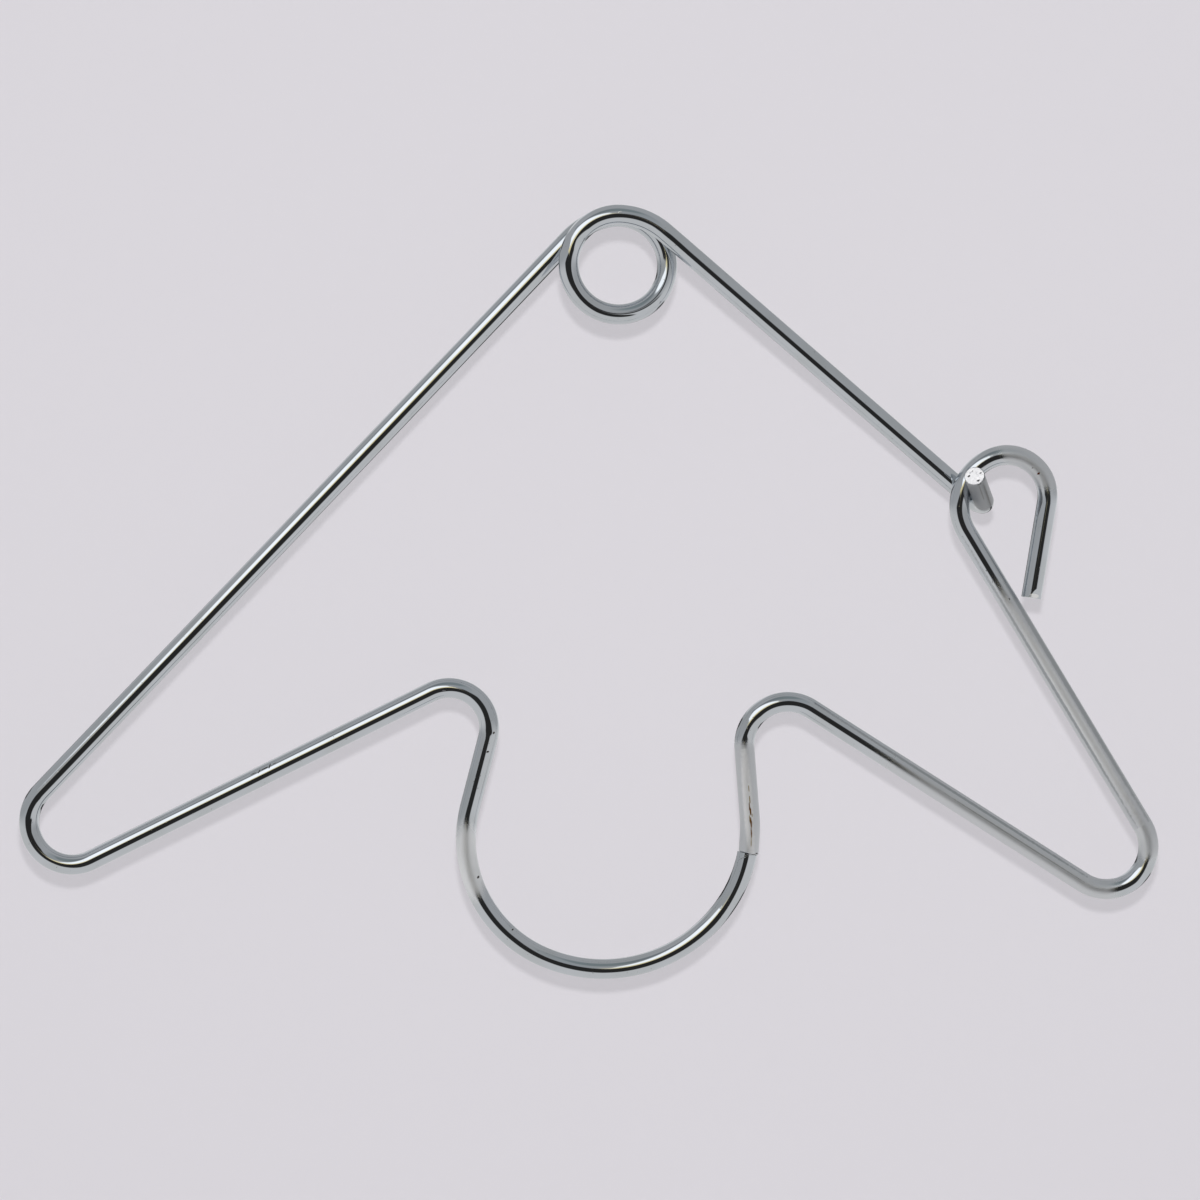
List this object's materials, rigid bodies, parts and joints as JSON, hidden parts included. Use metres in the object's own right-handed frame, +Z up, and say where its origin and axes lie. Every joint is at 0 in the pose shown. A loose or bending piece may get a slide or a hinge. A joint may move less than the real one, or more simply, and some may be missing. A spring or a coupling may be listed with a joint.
{
  "type": "trouser hanger",
  "caption": "Trouser hanger bent from one chromed spring wire: wound eye on top, latch arm hooked on a crook, two wings with bars, round finger loop below.",
  "frame": {"origin": "centre of the wound eye at the top, in the plane of the wire", "axes": "upright as it hangs from the eye: +X to the right of the picture, along the bars; +Z up; -Y towards the viewer, so +Y is the eye's axis, through the thin way of the hanger"},
  "size_m": [0.2848, 0.0208, 0.1931],
  "materials": {
    "chromed_wire": "bright chrome plating on spring steel wire, lightly worn, with small pits and a rust streak above the butt seam"
  },
  "bodies": {
    "frame": {"long_arm": "chromed_wire", "left_tip": "chromed_wire", "left_bar": "chromed_wire", "left_saddle": "chromed_wire", "left_neck": "chromed_wire", "loop_left": "chromed_wire", "loop_bottom": "chromed_wire", "coil_eye": "chromed_wire"},
    "wing": {"loop_lower": "chromed_wire", "loop_right": "chromed_wire", "loop_pinch": "chromed_wire", "right_neck": "chromed_wire", "right_saddle": "chromed_wire", "right_bar": "chromed_wire", "right_tip": "chromed_wire", "keeper_bar": "chromed_wire", "keeper_bend": "chromed_wire", "hook_crook": "chromed_wire", "hook_leg": "chromed_wire"},
    "exit": {"coil_exit": "chromed_wire"},
    "latch": {"latch_arm": "chromed_wire", "latch_elbow": "chromed_wire", "latch_peg": "chromed_wire"}
  },
  "joints": [
    {"name": "wing_squeeze", "type": "hinge", "parent": "frame", "child": "wing", "pos_m": [-0.0038, 0, -0.1758], "axis": [0, -1, 0], "range_deg": [0, 4.4], "stiffness_Nm_per_rad": 30, "deforming": ["loop_bottom"]},
    {"name": "latch_swing", "type": "hinge", "parent": "frame", "child": "exit", "pos_m": [0, 0, 0], "axis": [0, -1, 0], "range_deg": [0, 2], "stiffness_Nm_per_rad": 45, "deforming": ["coil_eye"]},
    {"name": "latch_tilt", "type": "hinge", "parent": "exit", "child": "latch", "pos_m": [0.02358, -0.00413, -0.00237], "axis": [0.6489, 0, 0.7609], "range_deg": [0, 11.5], "stiffness_Nm_per_rad": 33, "deforming": ["coil_exit"]}
  ],
  "couplings": [
    {"joint": "latch_tilt", "follows": "wing_squeeze", "ratio": 2.6}
  ]
}
